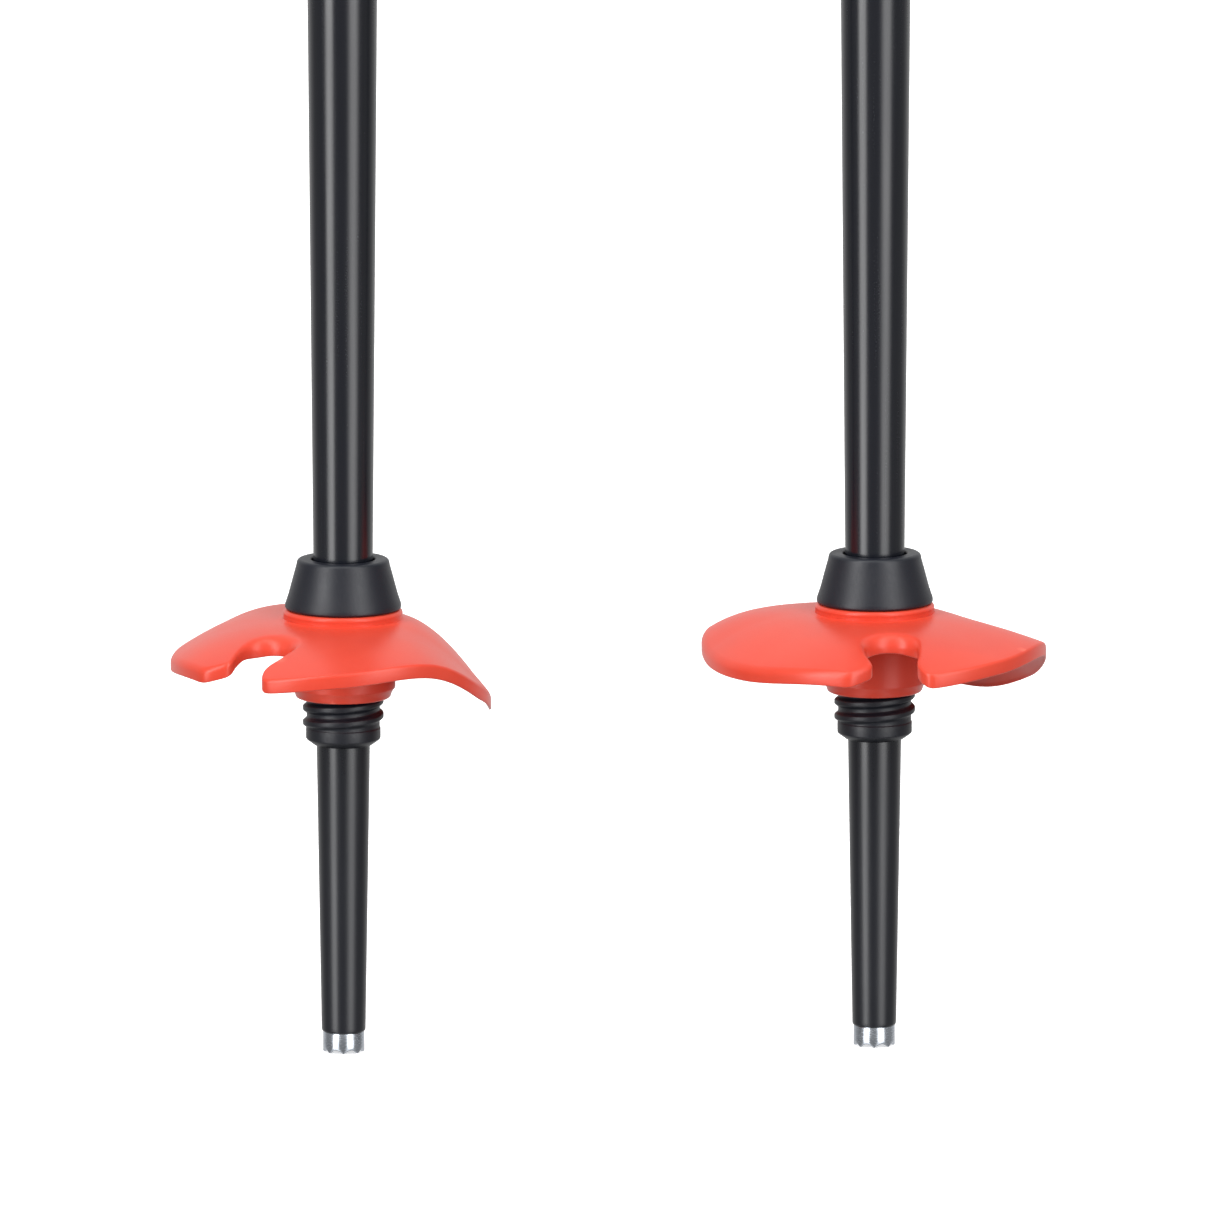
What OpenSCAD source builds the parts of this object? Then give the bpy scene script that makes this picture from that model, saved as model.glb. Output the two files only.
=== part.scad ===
// Pair of telescoping trekking poles with screw-on snow baskets.
// Origin: centre of the left pole's tip, on the ground. +Z up the pole, +X towards the right pole,
// -Y towards the walker's front. Both poles stand upright at their shortest length.

/* [Pair] */
// Distance across between the two pole axes
pole_gap = 122; // [110:1:200]
// How far the right pole stands behind the left one
pole_setback = 8; // [0:1:40]
// Turn of the right basket about its pole, in degrees
right_basket_turn = 41; // [0:1:90]

/* [Shaft] */
// Height of the tapered tube's lower end above the tip
tube_foot_z = 4.8; // [4.6:0.1:5.2]
// Radius of the lower section above its taper
lower_r = 8.0; // [7.9:0.1:8.0]
// Height at which the taper ends
taper_top_z = 245; // [220:5:250]
// Top of the lower section inside the upper one
lower_top_z = 880; // [800:5:900]
// Outer radius of the upper section
upper_r = 9.0; // [9:0.1:9.2]
// Bore radius of the upper section
upper_bore_r = 8.3; // [8.3:0.05:8.4]
// Height of the upper section's mouth
upper_foot_z = 264; // [262:1:280]

/* [Tip and sleeve] */
// Radius of the steel tip
tip_r = 4.75; // [4.5:0.05:4.9]
// Teeth round the tip's crown
tip_teeth = 8; // [6:1:10]
// Bottom of the moulded sleeve
sleeve_z = 71.7; // [70:0.1:73]
// Underside of the sleeve's cone, which the basket is screwed up against
seat_z = 103.4; // [102:0.1:105]
// Top of the sleeve's cone
cone_top_z = 115; // [113:0.5:118]
// Radius of the cone at its foot
cone_r = 13.3; // [13:0.1:14]
// Root radius of the thread on the sleeve
thread_root_r = 8.45; // [8.2:0.05:8.6]
// Crest radius of the thread on the sleeve
thread_crest_r = 9.3; // [9.1:0.05:9.35]
// Rise of the thread in one turn
thread_pitch = 3.33; // [3:0.01:4]

/* [Basket] */
// Thickness of the basket's disc
disc_t = 3.0; // [2.4:0.1:3.4]
// Bore radius of the basket's hub
hub_bore_r = 9.45; // [9.45:0.05:9.6]
// Outer radius of the basket's hub
hub_r = 12; // [11.6:0.1:12.6]
// Height of the hub's lower end
hub_z = 82.7; // [80:0.1:85]
// Direction of the heel notch, in degrees from the front towards +X
notch_azimuth = -34.3; // [-60:0.1:0]
// Distance from the axis to the notch's inner end
notch_start = 25; // [22:0.5:28]
// Width of the notch at its waist
notch_waist_w = 10; // [9:0.5:12]

/* [Length lock] */
// Height of the clamp band's lower edge
band_z = 266; // [266:1:282]
// Height of the clamp band
band_h = 26; // [24:1:30]
// Outer radius of the clamp band
band_r = 11.6; // [11.2:0.1:12]
// Width of the slit in the band
slit_w = 2.4; // [2:0.1:3]
// Outer radius of the tension nut
nut_r = 5.0; // [4.8:0.1:5.2]

/* [Grip] */
// Bottom of the lower foam grip
foam_z = 690; // [660:5:700]
// Radius of the lower foam grip
foam_r = 14.4; // [13.5:0.1:15]
// Bottom of the moulded handle
grip_z = 842; // [835:1:850]
// Underside of the handle's cap
cap_z = 976; // [976:1:980]
// Height of the whole pole
pole_top_z = 1000; // [1000:1:1004]

/* [Strap] */
// Width of the webbing
web_w = 18; // [16:0.5:18]
// Thickness of the webbing
web_t = 2.2; // [1.8:0.1:2.2]
// Height of the middle of the loop's lower bend
loop_z = 838; // [820:1:850]
// Inner radius of the loop's lower bend
loop_r = 21.8; // [20:0.1:23]
// Width of the padded part
pad_w = 30; // [24:1:34]

/* [Hidden] */
PIECES = ["lower_shaft", "basket_sleeve", "steel_tip", "guide_bush", "basket", "upper_shaft",
    "mouth_ring", "clamp_band", "eye_bolt", "cam_washer", "lever_pin", "lock_lever", "clamp_nut",
    "foam_collar", "foam_sleeve", "grip_core", "grip_foam", "grip_cap", "strap_pin", "strap_wedge",
    "strap", "strap_pad"];

$fn = 64;
cut = 0.01;      // how far a cutter runs past a face
glue_gap = 0.03; // room between pieces fixed together

// Shaft radius by height: a slim tapered foot, a longer taper, then a plain tube
shaft_line = [[0, 4.97], [5, 5.05], [115, 6.85], [taper_top_z, lower_r], [2000, lower_r]];
function shaft_r(z) = lookup(z, shaft_line);

// Basket rim stations: azimuth, radius, drop below the cone's foot, and power of the dome's fall.
// One side droops low.
rim_stations = [[-150, 41, 8.7, 3.1], [-120, 39, 10.6, 2.4], [-90, 39.5, 10.8, 2.0],
    [-60, 41.5, 9.4, 2.0], [-30, 43.5, 10.1, 1.9], [0, 43.5, 8, 1.75],
    [30, 41, 7.1, 1.7], [60, 37.1, 15.2, 1.65], [90, 33.8, 20.8, 1.65],
    [120, 35.5, 20.9, 1.7], [150, 40, 19.2, 1.8], [180, 42.5, 13.5, 2.4]];
station_step = 30;
disc_root_r = 13.6;   // where the disc leaves the hub's neck
disc_root_drop = 2.4; // its drop below the cone's foot there
disc_spokes = 48;
disc_rings = 4;

// Closed Catmull-Rom curve through the stations' values in column k, at any azimuth
function station(i, k) = rim_stations[(i + 24) % 12][k];
function spline(a, b, c, d, t) =
    b + 0.5 * t * (c - a + t * (2 * a - 5 * b + 4 * c - d + t * (3 * (b - c) + d - a)));
function rim(azimuth, k) =
    let (u = (azimuth + 150) / station_step, i = floor(u))
    spline(station(i - 1, k), station(i, k), station(i + 1, k), station(i + 2, k), u - i);
function disc_drop(azimuth, t) =
    disc_root_drop + (rim(azimuth, 2) - disc_root_drop) * pow(max(t, 0), rim(azimuth, 3));
function disc_point(azimuth, ring, under) =
    let (t = ring / disc_rings, r = disc_root_r + t * (rim(azimuth, 1) - disc_root_r))
    [r * sin(azimuth), -r * cos(azimuth), seat_z - disc_drop(azimuth, t) - under];

lock_x = 15;                       // the bolt stands this far out from the pole's axis
lock_z = band_z + band_h / 2;
lug_y = 6;                         // outer face of each lug
washer_t = 1.2;
washer_w = 9.6;                    // clears the band's round outside
nut_gap = 0.4;                     // between the lug's face and the nut
cam_r = 4.0;                       // radius of the cam's round
cam_lift = 0.6;                    // how far its centre is off the pin
cam_gap = 0.1;
pin_y = -(lug_y + washer_t + cam_r + cam_lift + cam_gap);
lever_h = 17;
lever_slot_h = 5.4;                // gap between the lever's two cam ears
bolt_r = 2.5;
cross_pin_r = 1.5;
arm_in_r = 12.4;
arm_out_r = 15.2;

grip_bore_r = 12;
foam_top_z = 972;
strap_y = 19;                      // the strap's pin stands this far behind the pole's axis
strap_z = 984;
strap_pin_r = 1.6;
loop_y = strap_y + 29;
notch_half_w = web_w / 2 + 0.8;

module at_left() { children(); }
module at_right() { translate([pole_gap, pole_setback, 0]) children(); }

// A tube of revolution from an outline of [radius, height] points
module turned(points) { rotate_extrude(convexity = 6) polygon(points); }

// Triangles between ring j and ring next of a stack of rings with n points each
function band_faces(j, next, n) = [for (i = [0:n - 1]) let (k = (i + 1) % n)
    each [[j * n + i, next * n + i, j * n + k], [j * n + k, next * n + i, next * n + k]]];

// A skin through equal rings of points, closed at both ends
module skin(rings) {
    n = len(rings[0]);
    m = len(rings);
    sides = [for (j = [0:m - 2]) each band_faces(j, j + 1, n)];
    ends = [[for (i = [0:n - 1]) i], [for (i = [n - 1:-1:0]) (m - 1) * n + i]];
    polyhedron([for (r = rings) each r], concat(sides, ends), convexity = 8);
}

// A skin through equal rings of points whose last ring joins the first, like a tyre
module looped_skin(rings) {
    n = len(rings[0]);
    m = len(rings);
    polyhedron([for (r = rings) each r],
        [for (j = [0:m - 1]) each band_faces(j, (j + 1) % m, n)], convexity = 8);
}

// One oval ring of the handle: half width, front depth, back depth and squareness at height z
function oval_point(angle, wide, front, back, power) =
    let (c = cos(angle), s = sin(angle), deep = s < 0 ? front : back)
    [wide * sign(c) * pow(abs(c), 2 / power), deep * sign(s) * pow(abs(s), 2 / power)];
function oval(z, wide, front, back, power, n = 36) =
    [for (i = [0:n - 1]) let (p = oval_point(i * 360 / n, wide, front, back, power)) [p.x, p.y, z]];

function reverse(list) = [for (i = [len(list) - 1:-1:0]) list[i]];

// ---- lower section ----

module lower_shaft() {
    color([0.05, 0.055, 0.065])
        turned([[4.7, tube_foot_z], [5.05, tube_foot_z + 0.5], [shaft_r(115), 115],
            [lower_r, taper_top_z], [lower_r, lower_top_z], [lower_r - 1.1, lower_top_z],
            [lower_r - 1.1, taper_top_z], [5.6, 115], [4.2, 34], [3.65, 34], [3.65, tube_foot_z]]);
}

module basket_sleeve() {
    bore = [for (z = [112, 71.7]) [shaft_r(z) + glue_gap, z == 112 ? cone_top_z - 3 : sleeve_z]];
    color([0.13, 0.135, 0.15]) {
        turned(concat([[6.7, sleeve_z], [8.55, sleeve_z + 1.4], [8.55, 76], [thread_root_r, 76.3],
            [thread_root_r, seat_z], [cone_r - 0.4, seat_z], [cone_r, seat_z + 0.4],
            [cone_r - 0.1, seat_z + 1.2], [10.55, cone_top_z - 1.5], [10.3, cone_top_z - 0.4],
            [9.8, cone_top_z], [7.5, cone_top_z], [7.5, cone_top_z - 3]], bore));
        for (turn = [0:5]) translate([0, 0, 78 + turn * thread_pitch])
            turned([[thread_root_r - 0.2, -1.1], [thread_crest_r, -0.45], [thread_crest_r, 0.45],
                [thread_root_r - 0.2, 1.1]]);
    }
}

module steel_tip() {
    color([0.72, 0.75, 0.8]) difference() {
        union() {
            cylinder(r = tip_r, h = tube_foot_z - glue_gap);
            cylinder(r = 3.6, h = 32);
        }
        turned([[0, -cut], [3.7, -cut], [0, 2.2]]);
        for (i = [0:tip_teeth - 1]) rotate([0, 0, (i + 0.5) * 360 / tip_teeth])
            translate([0, 0, -0.6]) rotate([0, 90, 0]) cylinder(r = 1.4, h = 6);
    }
}

module guide_bush() {
    bush_r = upper_bore_r - 0.08;
    color([0.8, 0.8, 0.78]) turned([[0, lower_top_z - 18], [6.4, lower_top_z - 18],
        [6.85, lower_top_z - 17], [6.85, lower_top_z + glue_gap], [bush_r - 0.4, lower_top_z + glue_gap],
        [bush_r, lower_top_z + 1], [bush_r, lower_top_z + 12], [6.5, lower_top_z + 14],
        [0, lower_top_z + 14]]);
}

// ---- basket ----

module basket_disc() {
    azimuths = [for (i = [0:disc_spokes - 1]) i * 360 / disc_spokes];
    inner = [for (a = azimuths) [11 * sin(a), -11 * cos(a), seat_z - disc_root_drop]];
    lower = [for (a = azimuths) [11 * sin(a), -11 * cos(a), seat_z - disc_root_drop - disc_t - 1]];
    under = [for (k = [0:disc_rings]) [for (a = azimuths) disc_point(a, k, disc_t)]];
    over = [for (k = [disc_rings:-1:0]) [for (a = azimuths) disc_point(a, k, 0)]];
    looped_skin(concat([lower], under, over, [inner]));
}

// Heel notch: a keyhole with a round inner end and a waist, then a mouth that flares at the rim.
// The mouth is rounded off on one side and stays a horn on the other.
module notch_cutter() {
    half = notch_waist_w / 2;
    keyhole = [[half - 3.5, 0.15], [half - 1.9, 0.7], [half - 0.4, 1.9], [half + 0.7, 3.8],
        [half + 1.2, 6.2], [half + 1.15, 8.8], [half + 0.55, 11], [half, 12.8]];
    horn = [[half + 0.2, 14.6], [half + 0.9, 16.2], [half + 2.2, 18], [half + 4, 24]];
    lobe = [[half + 0.6, 13.5], [half + 2, 14.3], [half + 3.9, 15.2], [half + 5.8, 15.9],
        [half + 9, 16.6], [half + 11, 24]];
    rotate([0, 0, notch_azimuth]) translate([0, -notch_start, hub_z - 20])
        linear_extrude(height = 50)
            polygon(concat([for (p = concat([[0, 0]], keyhole, horn)) [p.x, -p.y]],
                reverse([for (p = concat(keyhole, lobe)) [-p.x, -p.y]])));
}

module basket() {
    color([0.93, 0.33, 0.26]) difference() {
        union() {
            basket_disc();
            turned([[0, hub_z], [10.4, hub_z], [11, hub_z + 0.6], [hub_r, hub_z + 2.4],
                [hub_r, 98], [13.2, 101], [13.4, seat_z - 0.5], [13.2, seat_z - 0.1],
                [0, seat_z - 0.1]]);
        }
        translate([0, 0, hub_z - 1]) cylinder(r = hub_bore_r, h = 30);
        notch_cutter();
    }
}

// ---- upper section and length lock ----

module upper_shaft() {
    color([0.05, 0.055, 0.065]) difference() {
        translate([0, 0, upper_foot_z]) cylinder(r = upper_r, h = 970 - upper_foot_z);
        translate([0, 0, upper_foot_z - 1]) cylinder(r = upper_bore_r, h = 970 - upper_foot_z + 2);
        translate([0, -slit_w / 2, upper_foot_z - 1]) cube([20, slit_w, band_h + 3]);
    }
}

module mouth_ring() {
    color([0.13, 0.135, 0.15]) turned([[lower_r + 0.08, upper_foot_z - 3.8],
        [9.4, upper_foot_z - 3.8], [10, upper_foot_z - 3], [10, upper_foot_z - glue_gap],
        [lower_r + 0.08, upper_foot_z - glue_gap]]);
}

module clamp_band() {
    color([0.1, 0.105, 0.115]) difference() {
        union() {
            translate([0, 0, band_z]) cylinder(r = band_r, h = band_h);
            translate([6, -lug_y, lock_z - 8]) cube([lock_x - 1.5, 2 * lug_y, 16]);
        }
        translate([0, 0, band_z - 1]) cylinder(r = upper_r + glue_gap, h = band_h + 2);
        translate([0, -slit_w / 2, band_z - 1]) cube([30, slit_w, band_h + 2]);
        translate([lock_x, -10, lock_z]) rotate([-90, 0, 0]) cylinder(r = bolt_r + 0.15, h = 20);
    }
}

module eye_bolt() {
    color([0.62, 0.63, 0.66]) difference() {
        union() {
            translate([lock_x, pin_y + 2.6, lock_z]) rotate([-90, 0, 0])
                cylinder(r = bolt_r, h = 22.5);
            translate([lock_x, pin_y, lock_z - 2.5]) cylinder(r = 3.3, h = 5);
        }
        translate([lock_x, pin_y, lock_z - 4]) cylinder(r = cross_pin_r + 0.02, h = 8);
    }
}

module cam_washer() {
    color([0.3, 0.31, 0.33]) difference() {
        translate([lock_x - washer_w / 2, -lug_y - washer_t, lock_z - 8])
            cube([washer_w, washer_t - 0.02, 16]);
        translate([lock_x, -10, lock_z]) rotate([-90, 0, 0]) cylinder(r = bolt_r + 0.15, h = 10);
    }
}

module lever_pin() {
    color([0.72, 0.75, 0.8]) translate([lock_x, pin_y, lock_z - lever_h / 2])
        cylinder(r = cross_pin_r, h = lever_h);
}

// Cam lever: two eccentric ears on the pin and an arm that follows the band round the pole
module lock_lever() {
    color([0.1, 0.105, 0.115]) difference() {
        union() {
            translate([lock_x, pin_y + cam_lift, lock_z - lever_h / 2])
                cylinder(r = cam_r, h = lever_h);
            translate([lock_x - 7.5, pin_y - 3.4, lock_z - lever_h / 2])
                cube([8, 5.4, lever_h]);
            translate([0, 0, lock_z - lever_h / 2]) difference() {
                cylinder(r = arm_out_r, h = lever_h);
                translate([0, 0, -1]) cylinder(r = arm_in_r, h = lever_h + 2);
                translate([-40, 0, -1]) cube([80, 40, lever_h + 2]);
                translate([lock_x - 6.5, -40, -1]) cube([40, 80, lever_h + 2]);
                rotate([0, 0, 200]) translate([0, -40, -1]) cube([40, 40, lever_h + 2]);
            }
        }
        translate([lock_x - 5, pin_y - 5, lock_z - lever_slot_h / 2]) cube([12, 12, lever_slot_h]);
        translate([lock_x, pin_y, lock_z - lever_h]) cylinder(r = cross_pin_r + 0.05, h = 2 * lever_h);
    }
}

module clamp_nut() {
    color([0.62, 0.63, 0.66]) translate([lock_x, lug_y + nut_gap, lock_z]) rotate([-90, 0, 0])
        difference() {
            cylinder(r = nut_r, h = 5);
            translate([0, 0, -1]) cylinder(r = bolt_r + 0.05, h = 7);
            for (i = [0:11]) rotate([0, 0, i * 30]) translate([nut_r + 0.5, 0, -1])
                cylinder(r = 0.9, h = 7);
        }
}

// ---- grips ----

module foam_collar() {
    color([0.13, 0.135, 0.15]) turned([[upper_r + glue_gap, foam_z - 7], [10.4, foam_z - 7],
        [12.6, foam_z - 4], [13.4, foam_z - 0.1], [upper_r + glue_gap, foam_z - 0.1]]);
}

// Lower grip: soft foam tube with shallow rounded grooves
module foam_sleeve() {
    steps = 48;
    top_z = grip_z - 0.1;
    outline = [for (i = [0:steps]) let (z = foam_z + (top_z - foam_z) * i / steps)
        [foam_r - 0.5 * (1 + cos(i * 360 * 9 / steps)) * (i > 2 && i < steps - 2 ? 1 : 0), z]];
    color([0.09, 0.09, 0.1]) turned(concat([[upper_r + glue_gap, foam_z]], outline,
        [[upper_r + glue_gap, top_z]]));
}

module grip_core() {
    color([0.13, 0.135, 0.15]) difference() {
        union() {
            turned([[0, grip_z], [14.6, grip_z], [15.2, grip_z + 1], [14.8, grip_z + 6], [0, grip_z + 6]]);
            translate([0, 0, grip_z]) cylinder(r = grip_bore_r - glue_gap, h = cap_z - 1 - grip_z);
            translate([0, 0, foam_top_z + 0.05]) cylinder(r = 13.6, h = cap_z - foam_top_z - 0.1);
        }
        translate([0, 0, grip_z - 1]) cylinder(r = upper_r + glue_gap, h = 970 - grip_z + 1.1);
    }
}

// Handle foam: an oval that swells in the palm, with three finger hollows in front
module grip_foam() {
    rings = 14;
    z0 = grip_z + 6.1;
    color([0.09, 0.09, 0.1]) difference() {
        skin([for (j = [0:rings]) let (t = j / rings, swell = sin(180 * t))
            oval(z0 + t * (foam_top_z - z0), 13.9 + 1.2 * swell,
                15.6 + 2.2 * swell - 1.1 * (1 - cos(360 * 4 * t)) * 0.5, 14 + 1.4 * swell, 2.3)]);
        translate([0, 0, grip_z]) cylinder(r = grip_bore_r, h = foam_top_z - grip_z + 5);
    }
}

// Cap: a rounded palm rest with a rear fork that carries the strap's pin
module grip_cap() {
    rings = 9;
    h = pole_top_z - cap_z;
    color([0.1, 0.105, 0.115]) difference() {
        skin([for (j = [0:rings]) let (t = j / rings, round = sqrt(max(0.02, 1 - pow(t, 3.2))))
            oval(cap_z + h * t, 17.6 * (0.93 + 0.07 * sin(90 * t)) * round, 20 * round,
                24 * round, 2.7)]);
        translate([-notch_half_w, strap_y - 4.8, cap_z - 1]) cube([2 * notch_half_w, 30, h + 2]);
        translate([-30, strap_y, strap_z]) rotate([0, 90, 0]) cylinder(r = strap_pin_r + 0.02, h = 60);
    }
}

module strap_pin() {
    color([0.72, 0.75, 0.8]) translate([-12, strap_y, strap_z]) rotate([0, 90, 0])
        cylinder(r = strap_pin_r, h = 24);
}

module strap_wedge() {
    w = 2 * notch_half_w - 0.6;
    color([0.93, 0.33, 0.26]) translate([-w / 2, 0, 0]) rotate([90, 0, 90])
        linear_extrude(height = w) polygon([[strap_y - 4.4, 989], [strap_y + 1.6, 989],
            [strap_y + 2.2, 992], [strap_y - 1, 997.5], [strap_y - 4.4, 998.5]]);
}

// ---- strap ----

// The closed outline of a loop that hangs from the pin: two round bends and two straight plies
module loop_outline(pin_r, bend_r) {
    hull() {
        translate([strap_y, strap_z]) circle(r = pin_r, $fn = 32);
        translate([loop_y, loop_z]) circle(r = bend_r, $fn = 48);
    }
}

module across_pole(w) {
    translate([-w / 2, 0, 0]) rotate([90, 0, 90]) linear_extrude(height = w) children();
}

module strap() {
    color([0.08, 0.08, 0.09]) across_pole(web_w) difference() {
        loop_outline(strap_pin_r + 0.3 + web_t, loop_r + web_t);
        loop_outline(strap_pin_r + 0.3, loop_r);
    }
}

module strap_pad() {
    color([0.16, 0.16, 0.17]) across_pole(pad_w) difference() {
        translate([loop_y, loop_z]) circle(r = loop_r - 0.1);
        translate([loop_y, loop_z]) circle(r = loop_r - 4.2);
        translate([loop_y - 40, loop_z - 4]) square([80, 60]);
    }
}

// ---- the pair ----

at_left() lower_shaft();  // left_lower_shaft
at_left() basket_sleeve();  // left_basket_sleeve
at_left() steel_tip();  // left_steel_tip
at_left() guide_bush();  // left_guide_bush
at_left() basket();  // left_basket
at_left() upper_shaft();  // left_upper_shaft
at_left() mouth_ring();  // left_mouth_ring
at_left() clamp_band();  // left_clamp_band
at_left() eye_bolt();  // left_eye_bolt
at_left() cam_washer();  // left_cam_washer
at_left() lever_pin();  // left_lever_pin
at_left() lock_lever();  // left_lock_lever
at_left() clamp_nut();  // left_clamp_nut
at_left() foam_collar();  // left_foam_collar
at_left() foam_sleeve();  // left_foam_sleeve
at_left() grip_core();  // left_grip_core
at_left() grip_foam();  // left_grip_foam
at_left() grip_cap();  // left_grip_cap
at_left() strap_pin();  // left_strap_pin
at_left() strap_wedge();  // left_strap_wedge
at_left() strap();  // left_strap
at_left() strap_pad();  // left_strap_pad
at_right() lower_shaft();  // right_lower_shaft
at_right() basket_sleeve();  // right_basket_sleeve
at_right() steel_tip();  // right_steel_tip
at_right() guide_bush();  // right_guide_bush
at_right() rotate([0, 0, right_basket_turn]) basket();  // right_basket
at_right() upper_shaft();  // right_upper_shaft
at_right() mouth_ring();  // right_mouth_ring
at_right() clamp_band();  // right_clamp_band
at_right() eye_bolt();  // right_eye_bolt
at_right() cam_washer();  // right_cam_washer
at_right() lever_pin();  // right_lever_pin
at_right() lock_lever();  // right_lock_lever
at_right() clamp_nut();  // right_clamp_nut
at_right() foam_collar();  // right_foam_collar
at_right() foam_sleeve();  // right_foam_sleeve
at_right() grip_core();  // right_grip_core
at_right() grip_foam();  // right_grip_foam
at_right() grip_cap();  // right_grip_cap
at_right() strap_pin();  // right_strap_pin
at_right() strap_wedge();  // right_strap_wedge
at_right() strap();  // right_strap
at_right() strap_pad();  // right_strap_pad
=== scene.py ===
"""Looks of a pair of telescoping trekking poles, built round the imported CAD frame.

Metres, in the CAD's own frame: +Z up, the left pole's tip at the origin, -Y towards the camera.
Lengths that belong to a shape are written in millimetres and scaled by MM.
"""
import math

import bmesh
import bpy
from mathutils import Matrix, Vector
from mathutils.geometry import delaunay_2d_cdt


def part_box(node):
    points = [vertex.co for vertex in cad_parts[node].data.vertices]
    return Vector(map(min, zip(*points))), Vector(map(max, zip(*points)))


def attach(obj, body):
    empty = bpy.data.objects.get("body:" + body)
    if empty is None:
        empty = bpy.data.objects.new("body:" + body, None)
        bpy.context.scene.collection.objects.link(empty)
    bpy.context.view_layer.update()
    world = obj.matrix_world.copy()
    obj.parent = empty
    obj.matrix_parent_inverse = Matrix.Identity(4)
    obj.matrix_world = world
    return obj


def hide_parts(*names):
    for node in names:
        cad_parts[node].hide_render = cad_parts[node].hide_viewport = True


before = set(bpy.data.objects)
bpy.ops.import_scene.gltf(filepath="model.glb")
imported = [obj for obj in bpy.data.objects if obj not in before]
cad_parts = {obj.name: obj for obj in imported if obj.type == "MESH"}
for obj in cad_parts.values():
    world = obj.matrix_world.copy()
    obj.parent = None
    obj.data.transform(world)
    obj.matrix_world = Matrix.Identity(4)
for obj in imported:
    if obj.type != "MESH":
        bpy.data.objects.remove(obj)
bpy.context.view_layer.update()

MM = 0.001
SIDES = ("left", "right")
SCENE = bpy.context.scene


def pole_axis(side):
    """The foot of a pole's axis, from its steel tip."""
    low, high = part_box(f"{side}_steel_tip")
    return Vector(((low.x + high.x) / 2, (low.y + high.y) / 2, 0))


AXIS = {side: pole_axis(side) for side in SIDES}
BASKET_TURN = {"left": 0.0, "right": math.radians(41)}


# -------- camera

FRAME_WIDTH = 0.2812          # what the picture takes in at the poles
CAMERA_DISTANCE = 8.0
CAMERA_ELEVATION = math.radians(9.9)
CAMERA_TARGET = Vector((AXIS["right"].x / 2 + 0.0009, 0, 0.1022))


def make_camera():
    data = bpy.data.cameras.new("camera")
    data.sensor_width = 36
    data.lens = data.sensor_width * CAMERA_DISTANCE / FRAME_WIDTH
    data.clip_start, data.clip_end = 0.1, 100
    camera = bpy.data.objects.new("camera", data)
    SCENE.collection.objects.link(camera)
    back = Vector((0, -math.cos(CAMERA_ELEVATION), math.sin(CAMERA_ELEVATION)))
    camera.location = CAMERA_TARGET + back * CAMERA_DISTANCE
    camera.rotation_mode = "QUATERNION"
    camera.rotation_quaternion = (-back).to_track_quat("-Z", "Y")
    SCENE.camera = camera


make_camera()


# -------- material helpers

def new_material(name, base, roughness, **sockets):
    """A Principled material; sockets such as Metallic are set by name. Returns it and its shader."""
    material = bpy.data.materials.new(name)
    material.use_nodes = True
    shader = material.node_tree.nodes["Principled BSDF"]
    shader.inputs["Base Color"].default_value = (*base, 1)
    shader.inputs["Roughness"].default_value = roughness
    for socket, value in sockets.items():
        shader.inputs[socket.replace("_", " ")].default_value = value
    return material, shader


def add_node(tree, kind, inputs=None, **settings):
    """A node; each input is a socket to link or a value to set."""
    node = tree.nodes.new(kind)
    for key, value in settings.items():
        setattr(node, key, value)
    for key, value in (inputs or {}).items():
        if isinstance(value, bpy.types.NodeSocket):
            tree.links.new(value, node.inputs[key])
        else:
            node.inputs[key].default_value = value
    return node


def object_position(tree, scale=(1, 1, 1)):
    """Place on the piece, in metres times scale."""
    coordinates = add_node(tree, "ShaderNodeTexCoord")
    mapping = add_node(tree, "ShaderNodeMapping", {"Vector": coordinates.outputs["Object"], "Scale": scale})
    return mapping.outputs["Vector"]


def noise_value(tree, scale, detail=3.0, stretch=(1, 1, 1)):
    """Noise from about 0.3 to 0.7; scale is in cells a metre."""
    node = add_node(tree, "ShaderNodeTexNoise",
                    {"Vector": object_position(tree, stretch), "Scale": scale, "Detail": detail,
                     "Roughness": 0.55})
    return node.outputs["Fac"]


def ranged(tree, value, low, high, from_low=0.3, from_high=0.7):
    """The value carried from its own range to low and high, which suits noise by default."""
    node = add_node(tree, "ShaderNodeMapRange",
                    {"Value": value, "From Min": from_low, "From Max": from_high,
                     "To Min": low, "To Max": high})
    return node.outputs["Result"]


def mixed(tree, factor, first, second):
    """Colour between two (r, g, b), or sockets, by factor."""
    node = add_node(tree, "ShaderNodeMix", data_type="RGBA")
    for key, value in ((0, factor), (6, first), (7, second)):
        if isinstance(value, bpy.types.NodeSocket):
            tree.links.new(value, node.inputs[key])
        elif key == 0:
            node.inputs[key].default_value = value
        else:
            node.inputs[key].default_value = (*value, 1)
    return node.outputs[2]


def maths(tree, operation, first, second=0.0):
    node = add_node(tree, "ShaderNodeMath", {0: first, 1: second}, operation=operation)
    return node.outputs[0]


def add_bump(tree, shader, heights):
    """Bumps in a chain; heights is a list of (value socket, strength, distance in metres)."""
    normal = None
    for value, strength, distance in heights:
        bump = add_node(tree, "ShaderNodeBump",
                        {"Height": value, "Strength": strength, "Distance": distance})
        if normal:
            tree.links.new(normal, bump.inputs["Normal"])
        normal = bump.outputs["Normal"]
    tree.links.new(normal, shader.inputs["Normal"])


def edge_wear(tree, low=0.52, high=0.62):
    """Near 1 on the sharpest convex edges, 0 on the flats."""
    pointiness = add_node(tree, "ShaderNodeNewGeometry").outputs["Pointiness"]
    return ranged(tree, pointiness, 0, 1, low, high)


# -------- materials

SCUFF_ROUGHNESS = 0.1         # what snow and stones add below the basket
SCUFF_FROM, SCUFF_TO = 0.06, 0.085


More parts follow.
